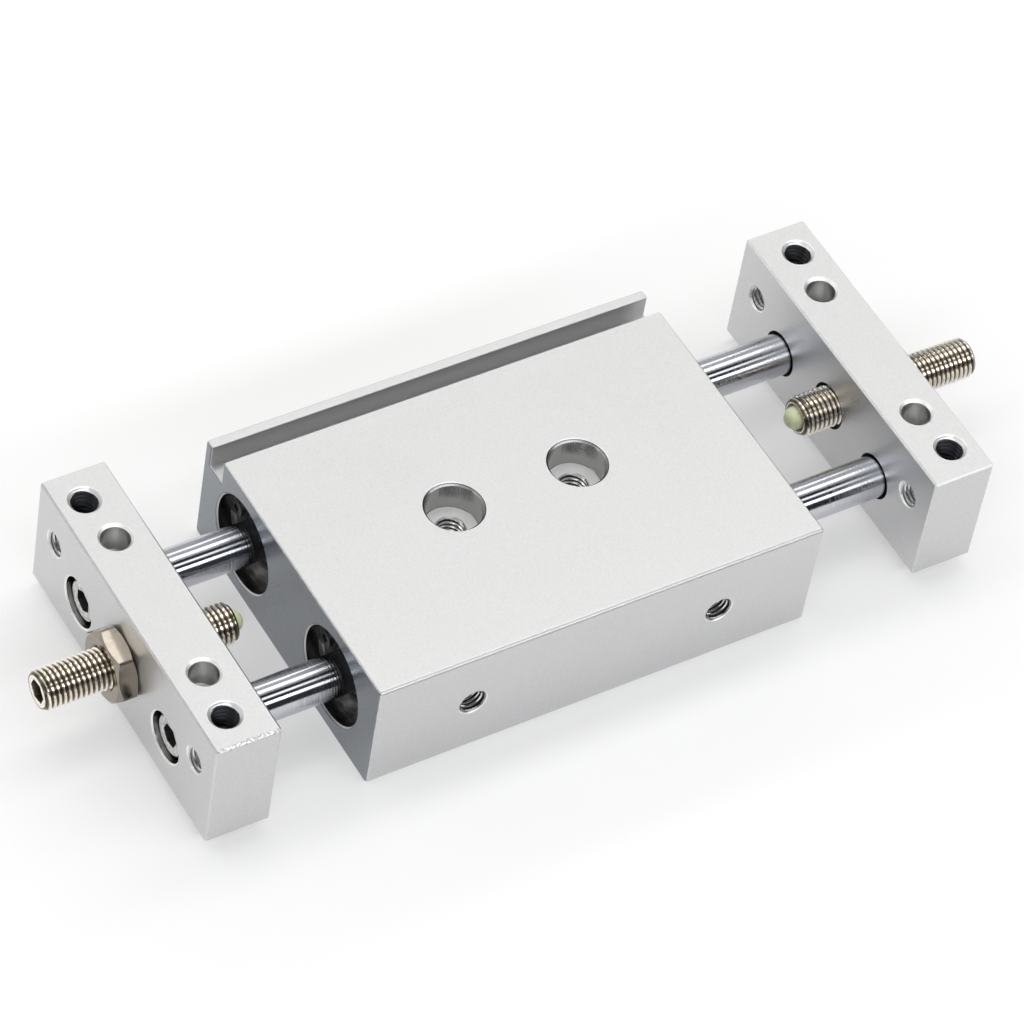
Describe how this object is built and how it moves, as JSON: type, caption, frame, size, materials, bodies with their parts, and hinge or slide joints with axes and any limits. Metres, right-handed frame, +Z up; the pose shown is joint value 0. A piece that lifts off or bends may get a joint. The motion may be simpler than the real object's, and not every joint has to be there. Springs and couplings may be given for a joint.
{
  "type": "pneumatic slide table",
  "caption": "Twin-rod pneumatic slide: a flat ported housing rides on through rods between end plates that carry adjustable stop bolts with soft bumpers.",
  "frame": {"origin": "middle of the flat base of the housing", "axes": "+X along the rods, +Y across the housing towards the sensor groove, +Z up out of the housing's top"},
  "size_m": [0.1943, 0.0662, 0.0274],
  "materials": {
    "housing_aluminium": "fine blasted and clear anodised, satin white-silver",
    "plate_aluminium": "fine blasted and clear anodised, satin white-silver",
    "rod_chrome": "hard chrome plated and ground, mirror bright",
    "stop_nickel": "bright nickel plate with a warm champagne cast",
    "screw_steel": "zinc plated steel, semi bright",
    "bumper_urethane": "pale yellow-green urethane, slightly translucent",
    "guide_alloy": "turned bearing alloy, satin",
    "ring_steel": "phosphated spring steel, dark satin",
    "seal_rubber": "black nitrile rubber",
    "piston_alloy": "turned aluminium alloy",
    "wear_resin": "filled bearing resin, brown",
    "magnet_resin": "resin-bonded magnet, dark grey"
  },
  "bodies": {
    "housing_body": {"housing": "housing_aluminium", "rod_guide_left_near": "guide_alloy", "guide_o_ring_left_near": "seal_rubber", "rod_seal_left_near": "seal_rubber", "retaining_ring_left_near": "ring_steel", "rod_guide_left_far": "guide_alloy", "guide_o_ring_left_far": "seal_rubber", "rod_seal_left_far": "seal_rubber", "retaining_ring_left_far": "ring_steel", "rod_guide_right_near": "guide_alloy", "guide_o_ring_right_near": "seal_rubber", "rod_seal_right_near": "seal_rubber", "retaining_ring_right_near": "ring_steel", "rod_guide_right_far": "guide_alloy", "guide_o_ring_right_far": "seal_rubber", "rod_seal_right_far": "seal_rubber", "retaining_ring_right_far": "ring_steel"},
    "rod_frame": {"end_plate_left": "plate_aluminium", "rod_screws_left": "screw_steel", "lock_nut_left": "stop_nickel", "end_plate_right": "plate_aluminium", "rod_screws_right": "screw_steel", "lock_nut_right": "stop_nickel", "rod_near": "rod_chrome", "piston_near": "piston_alloy", "piston_seal_near": "seal_rubber", "wear_ring_near": "wear_resin", "piston_magnet_near": "magnet_resin", "piston_clips_near": "ring_steel", "rod_far": "rod_chrome", "piston_far": "piston_alloy", "piston_seal_far": "seal_rubber", "wear_ring_far": "wear_resin", "piston_magnet_far": "magnet_resin", "piston_clips_far": "ring_steel"},
    "left_stop_feed": {"bumper_left": "bumper_urethane"},
    "left_stop_screw": {"stop_bolt_left": "stop_nickel"},
    "right_stop_feed": {"bumper_right": "bumper_urethane"},
    "right_stop_screw": {"stop_bolt_right": "stop_nickel"}
  },
  "joints": [
    {"name": "table_slide", "type": "slide", "parent": "housing_body", "child": "rod_frame", "axis": [1, 0, 0], "range_m": [-0.01335, 0.00905]},
    {"name": "left_stop_travel", "type": "slide", "parent": "rod_frame", "child": "left_stop_feed", "axis": [-1, 0, 0], "range_m": [0, 0.00601]},
    {"name": "left_stop_turn", "type": "hinge", "parent": "left_stop_feed", "child": "left_stop_screw", "pos_m": [-0.0785, 0, 0.0149], "axis": [-1, 0, 0], "range_deg": [0, 2160]},
    {"name": "right_stop_travel", "type": "slide", "parent": "rod_frame", "child": "right_stop_feed", "axis": [1, 0, 0], "range_m": [0, 0.00601]},
    {"name": "right_stop_turn", "type": "hinge", "parent": "right_stop_feed", "child": "right_stop_screw", "pos_m": [0.0813, 0, 0.0149], "axis": [1, 0, 0], "range_deg": [0, 2160]}
  ],
  "couplings": [
    {"joint": "left_stop_travel", "follows": "left_stop_turn", "m_per_rad": 0.00015915},
    {"joint": "right_stop_travel", "follows": "right_stop_turn", "m_per_rad": 0.00015915}
  ]
}
